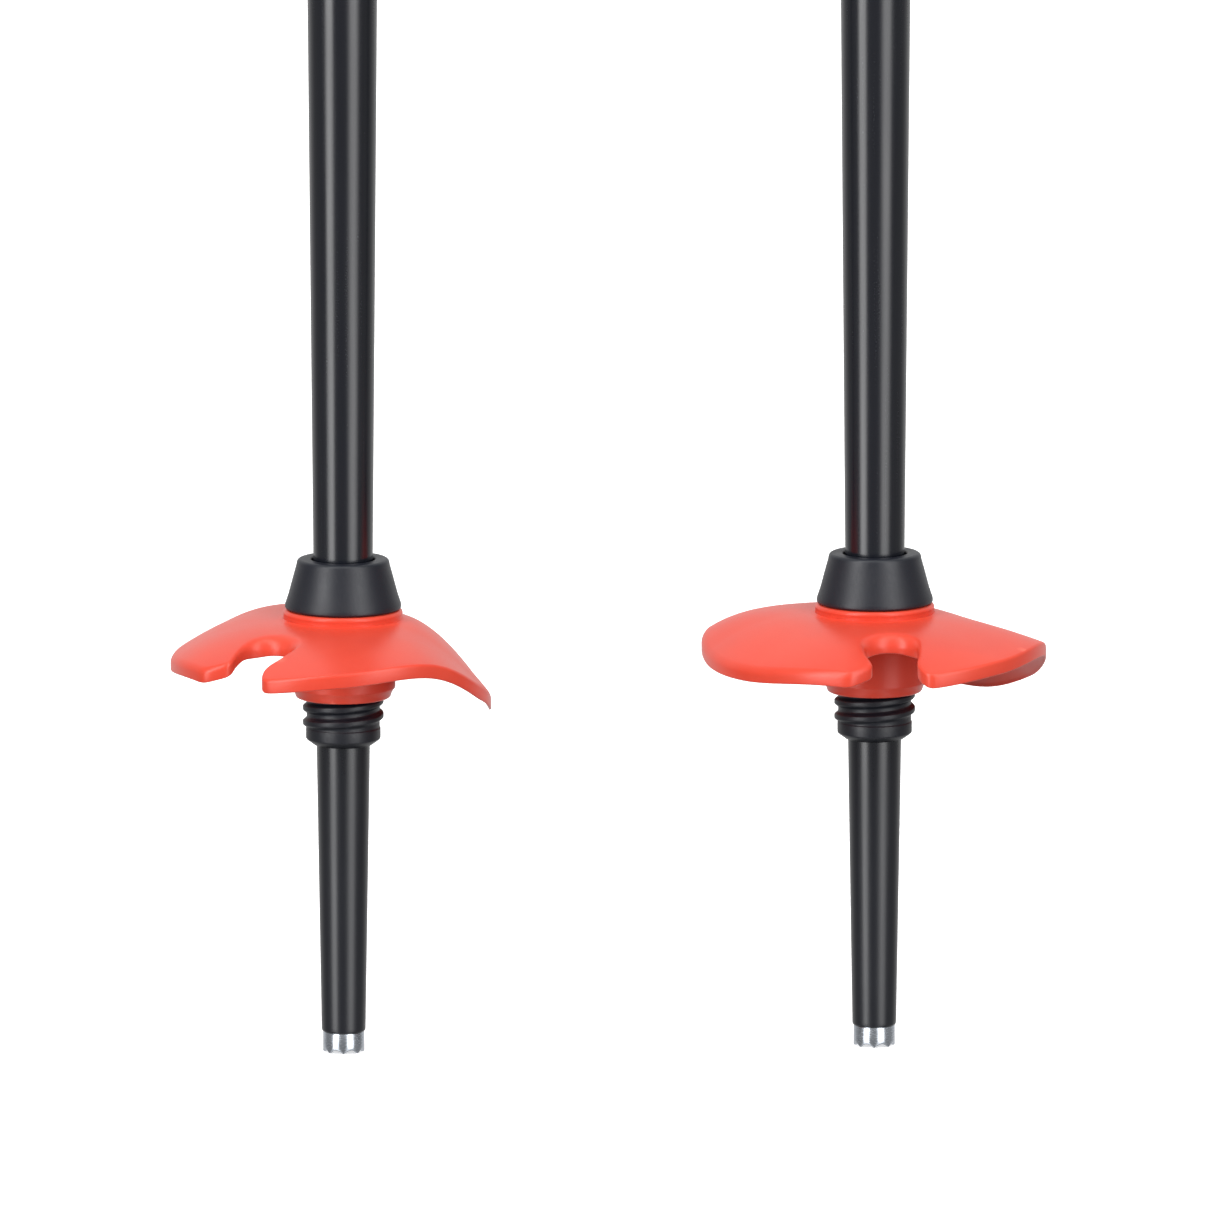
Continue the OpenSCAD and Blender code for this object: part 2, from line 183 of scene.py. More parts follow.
def black_tube_material():
    """Glossy black coating with fine streaks along the tube, scuffed near the tip."""
    material, shader = new_material("black_coated_tube", (0.004, 0.005, 0.009), 0.22, IOR=1.6)
    tree = material.node_tree
    streaks = noise_value(tree, 900, 4, (1, 1, 0.02))
    grain = noise_value(tree, 5200, 2)
    cloud = noise_value(tree, 60, 3)
    base = mixed(tree, cloud, (0.0035, 0.0045, 0.0085), (0.006, 0.0072, 0.0125))
    tree.links.new(base, shader.inputs["Base Color"])
    rough = maths(tree, "ADD", ranged(tree, streaks, 0.17, 0.24), ranged(tree, grain, 0, 0.05))
    height = add_node(tree, "ShaderNodeSeparateXYZ", {0: object_position(tree)}).outputs["Z"]
    scuffed = ranged(tree, height, SCUFF_ROUGHNESS, 0.0, SCUFF_FROM, SCUFF_TO)
    tree.links.new(maths(tree, "ADD", rough, scuffed), shader.inputs["Roughness"])
    add_bump(tree, shader, [(grain, 0.12, 0.00002), (streaks, 0.05, 0.00002)])
    return material


GRAIN_SIZE = 0.00035          # of moulded plastic


def moulded_material(name, base, roughness):
    """Injection-moulded plastic with a spark-eroded grain and rubbed edges."""
    material, shader = new_material(name, base, roughness)
    tree = material.node_tree
    grain = noise_value(tree, 1 / GRAIN_SIZE, 2)
    cloud = noise_value(tree, 90, 3)
    lighter = tuple(min(1, c * 1.35 + 0.004) for c in base)
    body = mixed(tree, ranged(tree, cloud, 0, 1), base, tuple(c * 0.85 for c in base))
    tree.links.new(mixed(tree, edge_wear(tree), body, lighter), shader.inputs["Base Color"])
    rough = maths(tree, "ADD", ranged(tree, cloud, roughness - 0.05, roughness + 0.04),
                  ranged(tree, grain, -0.04, 0.06))
    tree.links.new(rough, shader.inputs["Roughness"])
    add_bump(tree, shader, [(grain, 0.35, 0.00004)])
    return material


# painted shade: the basket's red goes to this dark red, and its reflection is dimmed, where ambient
# occlusion finds its own walls near
RECESS_REACH = 0.018          # how far a recess's walls shade each other
RECESS_SHADE_RED = (0.10, 0.001, 0.002)


def basket_material():
    """Tough red plastic, a little translucent, with painted shade in its recesses: darker and less
    reflective where its own walls close round.
    """
    material, shader = new_material("basket_red", (0.88, 0.08, 0.038), 0.38, Specular_IOR_Level=0.4)
    tree = material.node_tree
    cloud = noise_value(tree, 55, 4)
    grain = noise_value(tree, 2600, 2)
    own_red = mixed(tree, ranged(tree, cloud, 0, 1), (0.68, 0.056, 0.029), (0.73, 0.067, 0.035))
    # painted shade: the ambient occlusion share darkens the colour and lowers the reflection in recesses,
    # under the notch's lip and round the hub
    unshaded_share = add_node(tree, "ShaderNodeAmbientOcclusion", {"Distance": RECESS_REACH}, samples=8,
                          only_local=True).outputs["AO"]
    body = mixed(tree, ranged(tree, unshaded_share, 0, 1, 0.34, 0.54), RECESS_SHADE_RED, own_red)
    tree.links.new(ranged(tree, unshaded_share, 0.0, 0.4, 0.5, 0.85), shader.inputs["Specular IOR Level"])
    tree.links.new(mixed(tree, edge_wear(tree, 0.53, 0.66), body, (0.85, 0.13, 0.08)),
                   shader.inputs["Base Color"])
    tree.links.new(maths(tree, "ADD", ranged(tree, cloud, 0.27, 0.33), ranged(tree, grain, 0, 0.04)),
                   shader.inputs["Roughness"])
    shader.inputs["Subsurface Weight"].default_value = 0.08
    shader.inputs["Subsurface Radius"].default_value = (0.0025, 0.0006, 0.0003)
    add_bump(tree, shader, [(grain, 0.18, 0.00003)])
    return material


def steel_material(name, base, roughness, rings=True):
    """Bare metal, with the rings that turning leaves or with an even grain."""
    material, shader = new_material(name, base, roughness, Metallic=1.0)
    tree = material.node_tree
    stretch = (0.15, 0.15, 1) if rings else (1, 1, 1)
    turning = noise_value(tree, 7000, 3, stretch)
    cloud = noise_value(tree, 500, 3)
    tree.links.new(mixed(tree, ranged(tree, cloud, 0, 1), base, tuple(c * 0.8 for c in base)),
                   shader.inputs["Base Color"])
    tree.links.new(ranged(tree, turning, roughness - 0.06, roughness + 0.1), shader.inputs["Roughness"])
    add_bump(tree, shader, [(turning, 0.25, 0.00003)])
    return material


def foam_material():
    """Closed-cell grip foam: fine pits and a soft bloom."""
    material, shader = new_material("grip_foam", (0.02, 0.02, 0.022), 0.85)
    tree = material.node_tree
    cells = add_node(tree, "ShaderNodeTexVoronoi",
                     {"Vector": object_position(tree), "Scale": 1500.0}).outputs["Distance"]
    cloud = noise_value(tree, 70, 4)
    tree.links.new(mixed(tree, ranged(tree, cloud, 0, 1), (0.011, 0.011, 0.0125), (0.02, 0.02, 0.022)),
                   shader.inputs["Base Color"])
    shader.inputs["Sheen Weight"].default_value = 0.1
    shader.inputs["Sheen Roughness"].default_value = 0.6
    add_bump(tree, shader, [(cells, 0.5, 0.0002), (cloud, 0.3, 0.0004)])
    return material


def woven_material(name, base, pitch):
    """Webbing: ribs across the strap's width and fine threads along it."""
    material, shader = new_material(name, base, 0.8)
    tree = material.node_tree
    place = add_node(tree, "ShaderNodeSeparateXYZ", {0: object_position(tree)})
    turns = 2 * math.pi / pitch
    across = maths(tree, "SINE", maths(tree, "MULTIPLY", place.outputs["X"], turns))
    down = maths(tree, "SINE", maths(tree, "MULTIPLY", place.outputs["Z"], turns * 1.3))
    weave = maths(tree, "MULTIPLY", across, down)
    fuzz = noise_value(tree, 4000, 3)
    darker, lighter = tuple(c * 0.6 for c in base), tuple(c * 1.7 for c in base)
    tree.links.new(mixed(tree, ranged(tree, weave, 0, 1, -1, 1), darker, lighter),
                   shader.inputs["Base Color"])
    shader.inputs["Sheen Weight"].default_value = 0.15
    shader.inputs["Sheen Roughness"].default_value = 0.5
    add_bump(tree, shader, [(weave, 0.6, 0.00025), (fuzz, 0.3, 0.0001)])
    return material


TUBE = black_tube_material()
SLEEVE = moulded_material("sleeve_plastic", (0.007, 0.009, 0.016), 0.43)
LOCK = moulded_material("lock_plastic", (0.011, 0.012, 0.015), 0.4)
WASHER = moulded_material("washer_plastic", (0.09, 0.09, 0.1), 0.4)
NYLON = moulded_material("bush_nylon", (0.55, 0.55, 0.52), 0.45)
RED = basket_material()
TIP_STEEL = steel_material("tip_steel", (0.6, 0.64, 0.7), 0.2)
BRIGHT_STEEL = steel_material("bright_steel", (0.5, 0.51, 0.53), 0.25)
BOLT_STEEL = steel_material("bolt_steel", (0.35, 0.36, 0.38), 0.32, rings=False)
FOAM = foam_material()
NUT_ALUMINIUM = steel_material("nut_aluminium", (0.62, 0.63, 0.65), 0.3, rings=False)
WEBBING = woven_material("webbing", (0.02, 0.02, 0.023), 0.0011)
THREAD = woven_material("stitching", (0.09, 0.09, 0.1), 0.0004)
PAD = woven_material("pad_cloth", (0.035, 0.035, 0.04), 0.0009)

# the CAD nodes that show as they are
for side in SIDES:
    for node, material in (("eye_bolt", BOLT_STEEL), ("guide_bush", NYLON)):
        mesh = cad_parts[f"{side}_{node}"].data
        mesh.materials.clear()
        mesh.materials.append(material)


# -------- mesh helpers

def placed_piece(mesh, side, node, body, material, smooth=40):
    """An object of the mesh that rides on a body; node is the CAD node it stands for, or None."""
    shape = bmesh.new()
    shape.from_mesh(mesh)
    bmesh.ops.recalc_face_normals(shape, faces=shape.faces)      # every face turned outwards
    shape.to_mesh(mesh)
    shape.free()
    mesh.shade_smooth()
    mesh.set_sharp_from_angle(angle=math.radians(smooth))
    mesh.materials.clear()
    mesh.materials.append(material)
    piece = bpy.data.objects.new(mesh.name, mesh)
    SCENE.collection.objects.link(piece)
    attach(piece, f"{side}_{body}")
    if node:
        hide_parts(f"{side}_{node}")
    return piece


def add_piece(name, vertices, faces, side, node, body, slot, material, turn=0.0, smooth=40):
    """A mesh piece in millimetres round the pole's axis; node is the CAD node it stands for, or None."""
    c, s = math.cos(turn), math.sin(turn)
    axis = AXIS[side]
    placed = [(axis.x + (x * c - y * s) * MM, axis.y + (x * s + y * c) * MM, z * MM)
              for x, y, z in vertices]
    mesh = bpy.data.meshes.new(f"{side}_{name}")
    mesh.from_pydata(placed, [], faces)
    mesh.validate()
    mesh.update()
    return placed_piece(mesh, side, node, body, material, smooth)


def ring_faces(first, second):
    """Quads between two closed rings, given as equal lists of vertex numbers."""
    n = len(first)
    return [(first[i], first[(i + 1) % n], second[(i + 1) % n], second[i]) for i in range(n)]


def grid_faces(rows, columns, first=0):
    """Quads between `rows` stacked rings of `columns` points, numbered on from `first`."""
    rings = [range(first + j * columns, first + (j + 1) * columns) for j in range(rows)]
    return [face for one, two in zip(rings, rings[1:]) for face in ring_faces(one, two)]


def closed_grid_faces(rows, columns):
    """The same, with the last ring joined to the first."""
    last = (rows - 1) * columns
    return grid_faces(rows, columns) + ring_faces(range(last, last + columns), range(columns))


def capped_grid_faces(rows, columns, first=0):
    """Stacked rings with a flat face across each end."""
    last = first + (rows - 1) * columns
    ends = [tuple(range(first + columns - 1, first - 1, -1)), tuple(range(last, last + columns))]
    return grid_faces(rows, columns, first) + ends


def turned_mesh(outline, columns=128):
    """A solid of revolution from a closed outline of (radius, height)."""
    angles = [2 * math.pi * i / columns for i in range(columns)]
    vertices = [(r * math.sin(a), -r * math.cos(a), z) for r, z in outline for a in angles]
    return vertices, closed_grid_faces(len(outline), columns)


def arc(centre, radius, start, end, steps=6):
    """Points on an arc in (radius, height), angles in degrees from +radius towards +height."""
    points = []
    for i in range(steps + 1):
        a = math.radians(start + (end - start) * i / steps)
        points.append((centre[0] + radius * math.cos(a), centre[1] + radius * math.sin(a)))
    return points


# -------- basket

SEAT_Z = 103.4                # underside of the sleeve's cone
HUB_Z = 82.7
HUB_R = 12.0
BORE_R = 9.45
DISC_T = 2.6                  # on the drooping lobe; the rest is a little thicker
DISC_T_MORE = 0.6
THIN_AZIMUTH = 135            # middle of the thinner part, in degrees
DISC_ROOT_R = 13.6
DISC_ROOT_DROP = 2.4
NOTCH_AZIMUTH = math.radians(-34.3)
NOTCH_START = 25              # wall at the notch's inner end
NOTCH_LIP_R = 2.8             # rounding of the rolled lip there
LIP_EXTRA = 0.9               # how much deeper the lip hangs than the disc
LIP_HALF_W = 8                # half width of the stretch of wall that has the lip
LIP_FROM, LIP_TO = 1.5, 6.5   # where it fades out, by distance from the notch's inner end
EDGE_R = 0.6                  # rounding of the rim and of the notch's sides
LOBE_EDGE_R = 1.3             # rounding of the rim on the side that turns up
UNDER_EDGE_R = 0.35           # rounding of all its lower edges
OUTLINE_SPACING = 0.75        # of the mesh's points along the rim
FACE_SPACING = 1.15           # and over the disc's faces
MESH_REACH = 46               # past the widest part of the rim

# azimuth in degrees from the front towards +X, rim radius, drop below the cone's foot, dome power
RIM_STATIONS = ((-150, 41, 8.7, 3.1), (-120, 39, 10.6, 2.4), (-90, 39.5, 10.8, 2.0),
                (-60, 41.5, 9.4, 2.0), (-30, 43.5, 10.1, 1.9), (0, 43.5, 8.0, 1.75),
                (30, 41, 7.1, 1.7), (60, 37.1, 15.2, 1.65), (90, 33.8, 20.8, 1.65),
                (120, 35.5, 20.9, 1.7), (150, 40, 19.2, 1.8), (180, 42.5, 13.5, 2.4))


def rim(azimuth, column):
    """Rim radius, drop or dome power (columns 1 to 3) at an azimuth in degrees: a closed curve."""
    u = (azimuth + 150) / 30
    i = math.floor(u)
    t = u - i
    a, b, c, d = (RIM_STATIONS[(i + k) % 12][column] for k in (-1, 0, 1, 2))
    return b + 0.5 * t * (c - a + t * (2 * a - 5 * b + 4 * c - d + t * (3 * (b - c) + d - a)))


def eased(t):
    """0 to 1 with soft ends."""
    t = min(max(t, 0), 1)
    return t * t * (3 - 2 * t)


def disc_top(x, y):
    """Height of the disc's upper face."""
    r = math.hypot(x, y)
    azimuth = math.degrees(math.atan2(x, -y))
    t = max(0.0, (r - DISC_ROOT_R) / (rim(azimuth, 1) - DISC_ROOT_R))
    return SEAT_Z - DISC_ROOT_DROP - (rim(azimuth, 2) - DISC_ROOT_DROP) * t ** rim(azimuth, 3)


def disc_under(x, y):
    """Height of its lower face."""
    off_lobe = abs((math.degrees(math.atan2(x, -y)) - THIN_AZIMUTH + 180) % 360 - 180)
    return disc_top(x, y) - DISC_T - DISC_T_MORE * eased((off_lobe - 30) / 30)


# the notch by distance out from its inner end and half width: a keyhole, then on one side a horn
# and on the other a lobe with its corner rounded off
KEYHOLE_R = 6.2
KEYHOLE = tuple((KEYHOLE_R * (1 - math.cos(math.radians(a))), KEYHOLE_R * math.sin(math.radians(a)))
                for a in range(0, 91, 10)) + ((8.6, 6.05), (10.8, 5.5), (12.8, 5.0))
HORN = ((14.6, 5.2), (16.2, 5.9), (18.0, 7.2))
LOBE = ((13.5, 5.6), (14.3, 7.0), (15.2, 8.9), (15.9, 10.8))


def smooth_points(points, steps):
    """Catmull-Rom curve through open points."""
    result = []
    for i in range(len(points) - 1):
        p = [Vector(points[min(max(k, 0), len(points) - 1)]) for k in (i - 1, i, i + 1, i + 2)]
        for j in range(steps):
            t = j / steps
            result.append(p[1] + 0.5 * t * (p[2] - p[0] + t * (
                2 * p[0] - 5 * p[1] + 4 * p[2] - p[3] + t * (3 * (p[1] - p[2]) + p[3] - p[0]))))
    return result + [Vector(points[-1])]


def to_disc(along, across):
    """From the notch's own directions (out, across towards +X) to the disc's x, y."""
    outward = Vector((math.sin(NOTCH_AZIMUTH), -math.cos(NOTCH_AZIMUTH)))
    sideways = Vector((math.cos(NOTCH_AZIMUTH), math.sin(NOTCH_AZIMUTH)))
    return outward * along + sideways * across


def basket_outline():
    """Closed outline of the disc seen from above, anticlockwise, with its notch."""

    def rim_point(azimuth):
        r, a = rim(azimuth, 1), math.radians(azimuth)
        return Vector((r * math.sin(a), -r * math.cos(a)))

    def wall(corner):
        return [(NOTCH_START + a, w) for a, w in smooth_points(KEYHOLE + corner, 5)]

    horn, lobe = wall(HORN), wall(LOBE)
    notch = math.degrees(NOTCH_AZIMUTH)
    first = notch + math.degrees(math.atan2(horn[-1][1], horn[-1][0]))
    last = notch + 360 - math.degrees(math.atan2(lobe[-1][1], lobe[-1][0]))
    steps = 300
    points = [rim_point(first + (last - first) * i / steps) for i in range(1, steps)]
    inward = [to_disc(a, -w) for a, w in reversed(lobe)]
    outward = [to_disc(a, w) for a, w in horn]
    return points + inward + outward[1:]


def resampled(points, spacing):
    """The closed outline again, with even spacing."""
    ring = points + [points[0]]
    lengths = [0.0]
    for a, b in zip(ring, ring[1:]):
        lengths.append(lengths[-1] + (b - a).length)
    count = round(lengths[-1] / spacing)
    result, j = [], 0
    for i in range(count):
        want = lengths[-1] * i / count
        while lengths[j + 1] < want:
            j += 1
        t = (want - lengths[j]) / max(lengths[j + 1] - lengths[j], 1e-9)
        result.append(ring[j].lerp(ring[j + 1], t))
    return result


def rounded(points, passes):
    """Evens out corners of a closed ring a little."""
    n = len(points)
    for _ in range(passes):
        points = [points[i] * 0.5 + (points[i - 1] + points[(i + 1) % n]) * 0.25 for i in range(n)]
    return points


def lip_share(point):
    """1 on the notch's inner end, 0 away from it."""
    along = point.dot(to_disc(1, 0)) - NOTCH_START
    across = abs(point.dot(to_disc(0, 1)))
    if across > LIP_HALF_W or along < -LIP_HALF_W:
        return 0.0
    return 1 - eased((along - LIP_FROM) / (LIP_TO - LIP_FROM))


def rim_rounding(point):
    """Edge rounding away from the notch's inner end."""
    azimuth = math.degrees(math.atan2(point.x, -point.y))
    return EDGE_R + (LOBE_EDGE_R - EDGE_R) * eased((-azimuth - 30) / 25)


def rim_mesh():
    """The disc's edge as a strip of rings, from the top's border round to the underside's."""
    outline = rounded(resampled(rounded(basket_outline(), 3), OUTLINE_SPACING), 2)
    n = len(outline)
    inward = []
    for i in range(n):
        along = (outline[(i + 1) % n] - outline[i - 1]).normalized()
        inward.append(Vector((-along.y, along.x)))
    for _ in range(4):
        inward = [(inward[i - 1] + 2 * inward[i] + inward[(i + 1) % n]).normalized() for i in range(n)]
    shares = [lip_share(p) for p in outline]
    radii = [rim_rounding(p) * (1 - s) + NOTCH_LIP_R * s for p, s in zip(outline, shares)]
    for _ in range(6):
        radii = [(radii[i - 1] + 2 * radii[i] + radii[(i + 1) % n]) / 4 for i in range(n)]

    vertices, rings = [], []

    def add_ring(points):
        rings.append(list(range(len(vertices), len(vertices) + n)))
        vertices.extend(points)

    top_steps, under_steps, fade_steps = 7, 4, 3
    for k in range(top_steps + 1):
        a = math.pi / 2 * (1 - k / top_steps)
        ring = []
        for p, q, f in zip(outline, inward, radii):
            place = p + q * f * (1 - math.cos(a))
            ring.append((place.x, place.y, disc_top(place.x, place.y) - f * (1 - math.sin(a))))
        add_ring(ring)
    for k in range(under_steps + 1):
        a = math.pi / 2 * k / under_steps
        ring = []
        for p, q, lip in zip(outline, inward, shares):
            place = p + q * UNDER_EDGE_R * (1 - math.cos(a))
            bottom = disc_under(p.x, p.y) - LIP_EXTRA * lip
            ring.append((place.x, place.y, bottom + UNDER_EDGE_R * (1 - math.sin(a))))
        add_ring(ring)
    # the lip's extra depth fades out under the disc
    for reach in range(1, fade_steps + 1):
        ring = []
        for p, q, lip in zip(outline, inward, shares):
            place = p + q * (UNDER_EDGE_R + reach * (0.2 + 0.8 * lip))
            fade = LIP_EXTRA * lip * (1 - reach / fade_steps) ** 1.5
            ring.append((place.x, place.y, disc_under(place.x, place.y) - fade))
        add_ring(ring)
    faces = [face for one, two in zip(rings, rings[1:]) for face in ring_faces(two, one)]
    return vertices, faces, rings[0], rings[-1]


def inside_loop(p, loop):
    """Whether a point lies inside a closed loop of points."""
    inside = False
    for i in range(len(loop)):
        a, b = loop[i], loop[i - 1]
        if (a.y > p.y) != (b.y > p.y) and p.x < (b.x - a.x) * (p.y - a.y) / (b.y - a.y) + a.x:
            inside = not inside
    return inside


def fill_between(vertices, faces, outer, inner, height):
    """Adds triangles between an outer loop and an inner circle of vertices, at height(x, y)."""
    outer_2d = [Vector(vertices[i][:2]) for i in outer]
    inner_2d = [Vector(vertices[i][:2]) for i in inner]
    n, m = len(outer), len(inner)
    points = outer_2d + inner_2d
    clear = (0.7 * FACE_SPACING) ** 2          # of the outer loop
    r = inner_2d[0].length + FACE_SPACING * 0.8
    ring = 0
    while r < MESH_REACH:
        steps = round(2 * math.pi * r / FACE_SPACING)
        for i in range(steps):
            a = 2 * math.pi * (i + 0.5 * (ring % 2)) / steps
            p = Vector((r * math.sin(a), -r * math.cos(a)))
            if all((q - p).length_squared >= clear for q in outer_2d) and inside_loop(p, outer_2d):
                points.append(p)
        r += FACE_SPACING * 0.87
        ring += 1
    loops = [(i, (i + 1) % n) for i in range(n)] + [(n + i, n + (i + 1) % m) for i in range(m)]
    found, _, triangles, *_ = delaunay_2d_cdt(points, loops, [], 0, 1e-5)
    assert len(found) == len(points)
    index = outer + inner
    for p in found[n + m:]:
        index.append(len(vertices))
        vertices.append((p.x, p.y, height(p.x, p.y)))
    for t in triangles:
        centre = sum((found[i] for i in t), Vector((0, 0))) / 3
        if inside_loop(centre, outer_2d) and not inside_loop(centre, inner_2d):
            faces.append(tuple(index[i] for i in t))


def basket_mesh():
    """Disc, neck bead, bore and hub in one closed mesh."""
    vertices, faces, top_border, under_border = rim_mesh()
    columns = 144
    top_z = SEAT_Z - DISC_ROOT_DROP
    under_z = top_z - DISC_T - DISC_T_MORE
    # from the top's inner circle over the neck bead, through the bore, round the hub
    profile = [(15.0, None), (14.3, top_z + 0.02), (13.75, top_z + 0.2)]
    profile += arc((12.75, SEAT_Z - 1.05), 0.95, -20, 90, 7)
    profile += [(BORE_R + 0.5, SEAT_Z - 0.1), (BORE_R, SEAT_Z - 0.6), (BORE_R, HUB_Z + 0.6),
                (BORE_R + 0.5, HUB_Z)]
    profile += arc((10.3, HUB_Z + 0.7), 0.7, -90, -10, 4) + [(11.3, HUB_Z + 1.5)]
    profile += arc((HUB_R - 0.7, HUB_Z + 2.6), 0.7, -30, 0, 3)
    profile += arc((HUB_R + 2.0, under_z - 2.0), 2.0, 180, 100, 7)[:-1] + [(15.0, "under")]
    loops = []
    for r, z in profile:
        start = len(vertices)
        for i in range(columns):
            a = 2 * math.pi * i / columns
            x, y = r * math.sin(a), -r * math.cos(a)
            height = disc_top(x, y) if z is None else disc_under(x, y) if z == "under" else z
            vertices.append((x, y, height))
        loops.append(list(range(start, start + columns)))
    for one, two in zip(loops, loops[1:]):
        faces += ring_faces(one, two)
    fill_between(vertices, faces, top_border, loops[0], disc_top)
    fill_between(vertices, faces, under_border, loops[-1], disc_under)
    return vertices, faces


BASKET_MESH = basket_mesh()
for side in SIDES:
    add_piece("snow_basket", *BASKET_MESH, side, "basket", "basket", "basket_red", RED,
              turn=BASKET_TURN[side], smooth=35)


# -------- sleeve, tube and tip

LOWER_R = 8.0                 # the lower tube above its taper, which ends at TAPER_TOP_Z
TAPER_TOP_Z = 245
TAPER = ((0, 4.97), (5, 5.05), (115, 6.85), (TAPER_TOP_Z, LOWER_R))
TUBE_TOP_Z = 880


def shaft_r(z):
    """Radius of the lower tube at a height, from (height, radius) along its taper."""
    for (z0, r0), (z1, r1) in zip(TAPER, TAPER[1:]):
        if z <= z1:
            return r0 + (r1 - r0) * (z - z0) / (z1 - z0)
    return LOWER_R


THREAD_ROOT_R = 8.4
THREAD_CREST_R = 9.3
THREAD_PITCH = 3.4
THREAD_START_Z = 76.9         # crest height at the left of the pole, where the thread starts
THREAD_FOOT = 1.4             # half width of the thread's foot, and of the flank on each side
THREAD_FLANK = 1.05
THREAD_RUN_IN = 0.12          # turns over which it rises at its start


def thread_radius(azimuth, z):
    """Radius of the threaded neck; azimuth in radians from the front towards +X."""
    turns = (z - THREAD_START_Z) / THREAD_PITCH - (azimuth + math.pi / 2) / (2 * math.pi)
    phase = abs((turns + 0.5) % 1.0 - 0.5) * THREAD_PITCH
    shape = eased((THREAD_FOOT - phase) / THREAD_FLANK)
    start = min(max(turns + 0.5, 0) / THREAD_RUN_IN, 1)
    return THREAD_ROOT_R + (THREAD_CREST_R - THREAD_ROOT_R) * shape * start


SLEEVE_LOW_Z = 71.7
THREAD_LOW_Z = 76.05
SLEEVE_FIT = 0.03             # between the sleeve's bore and the tube


def sleeve_mesh():
    """Moulded sleeve: a plain shoulder, a threaded neck and a cone on top."""
    columns, thread_step = 160, 0.16
    low = [(shaft_r(SLEEVE_LOW_Z) + SLEEVE_FIT, SLEEVE_LOW_Z), (6.45, SLEEVE_LOW_Z), (6.7, 71.75),
           (8.35, 72.95)]
    low += arc((8.3, 73.35), 0.28, -40, 0, 3)
    low += arc((8.3, 75.5), 0.28, 0, 60, 3) + [(THREAD_ROOT_R, 75.95)]
    high = [(THREAD_ROOT_R, SEAT_Z - 0.4), (THREAD_ROOT_R + 0.3, SEAT_Z)]
    high += [(12.7, SEAT_Z)] + arc((12.85, SEAT_Z + 0.5), 0.5, -90, 0, 5)
    high += [(13.33, SEAT_Z + 0.9)] + arc((12.85, SEAT_Z + 1.1), 0.45, 0, 15, 2)
    high += [(12.55, SEAT_Z + 3.4), (11.7, SEAT_Z + 6.6), (10.75, SEAT_Z + 10.1)]
    high += arc((9.7, 114.0), 0.95, 15, 90, 7)
    high += [(8.7, 114.97)] + arc((7.75, 114.55), 0.4, 90, 180, 4)
    high += [(7.35, 112.5), (shaft_r(112) + SLEEVE_FIT, 112)]
    angles = [2 * math.pi * i / columns - math.pi for i in range(columns)]
    rows = [[(r, z)] * columns for r, z in low]
    z = THREAD_LOW_Z
    while z < SEAT_Z - 0.6:
        rows.append([(thread_radius(a, z), z) for a in angles])
        z += thread_step
    rows += [[(r, z)] * columns for r, z in high]
    vertices = [(r * math.sin(a), -r * math.cos(a), z) for row in rows for a, (r, z) in zip(angles, row)]
    return vertices, closed_grid_faces(len(rows), columns)


def tube_mesh():
    """Lower tube: tapered, rounded over at its foot, bored out, with a seat for the tip."""
    outline = arc((4.55, 5.3), 0.48, -90, 0, 6) + [(5.06, 6)]
    outline += [(shaft_r(z), z) for z in range(15, TAPER_TOP_Z, 10)]
    outline += [(LOWER_R, TAPER_TOP_Z), (LOWER_R, 500), (LOWER_R, TUBE_TOP_Z), (6.9, TUBE_TOP_Z),
                (6.9, TAPER_TOP_Z), (5.6, 115), (4.2, 34), (3.65, 34), (3.65, 4.9)]
    return turned_mesh(outline)


TIP_TEETH = 8
TOOTH_POINTS = 16
# radius, height, and how deep the hollows between the teeth cut there
TIP_OUTLINE = ((0.3, 2.1, 0), (2.0, 1.5, 0.1), (3.4, 0.75, 0.45), (3.75, 0.3, 0.7), (4.0, 0.02, 0.85),
               (4.5, 0.0, 0.85), (4.68, 0.12, 0.85), (4.75, 0.35, 0.8), (4.75, 1.5, 0), (4.75, 4.6, 0),
               (4.6, 4.78, 0), (3.6, 4.78, 0), (3.6, 32, 0), (0.3, 32, 0))


def tip_mesh():
    """Steel crown tip: a cylinder with scalloped teeth round a hollow end."""
    columns = TIP_TEETH * TOOTH_POINTS
    vertices = []
    for r, z, depth in TIP_OUTLINE:
        for i in range(columns):
            hollow = 1 - abs(2 * (i / TOOTH_POINTS % 1) - 1) ** 1.6
            a = 2 * math.pi * i / columns
            vertices.append((r * math.sin(a), -r * math.cos(a), z + depth * hollow))
    return vertices, capped_grid_faces(len(TIP_OUTLINE), columns)


SLEEVE_MESH, TUBE_MESH, TIP_MESH = sleeve_mesh(), tube_mesh(), tip_mesh()
for side in SIDES:
    add_piece("threaded_sleeve", *SLEEVE_MESH, side, "basket_sleeve", "lower", "sleeve_plastic", SLEEVE,
              smooth=50)
    add_piece("lower_tube", *TUBE_MESH, side, "lower_shaft", "lower", "black_tube", TUBE)
    add_piece("crown_tip", *TIP_MESH, side, "steel_tip", "lower", "tip_steel", TIP_STEEL)


# -------- hard parts of the upper section

def softened(side, node, body, material, width):
    """A copy of a hard CAD part with its edges rounded over `width` millimetres."""
    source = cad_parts[f"{side}_{node}"]
    shape = bmesh.new()
    shape.from_mesh(source.data)
    shape.transform(source.matrix_world)
    bmesh.ops.remove_doubles(shape, verts=shape.verts, dist=0.005 * MM)
    bmesh.ops.dissolve_limit(shape, angle_limit=math.radians(0.4), verts=shape.verts, edges=shape.edges)
    corners = [e for e in shape.edges
               if len(e.link_faces) == 2 and e.calc_face_angle(0) > math.radians(30)]
    bmesh.ops.bevel(shape, geom=corners, offset=width * MM, offset_type="OFFSET", segments=3,
                    profile=0.5, affect="EDGES", clamp_overlap=False)
    mesh = bpy.data.meshes.new(f"{side}_{node}_soft")
    shape.to_mesh(mesh)
    shape.free()
    return placed_piece(mesh, side, node, body, material, smooth=32)


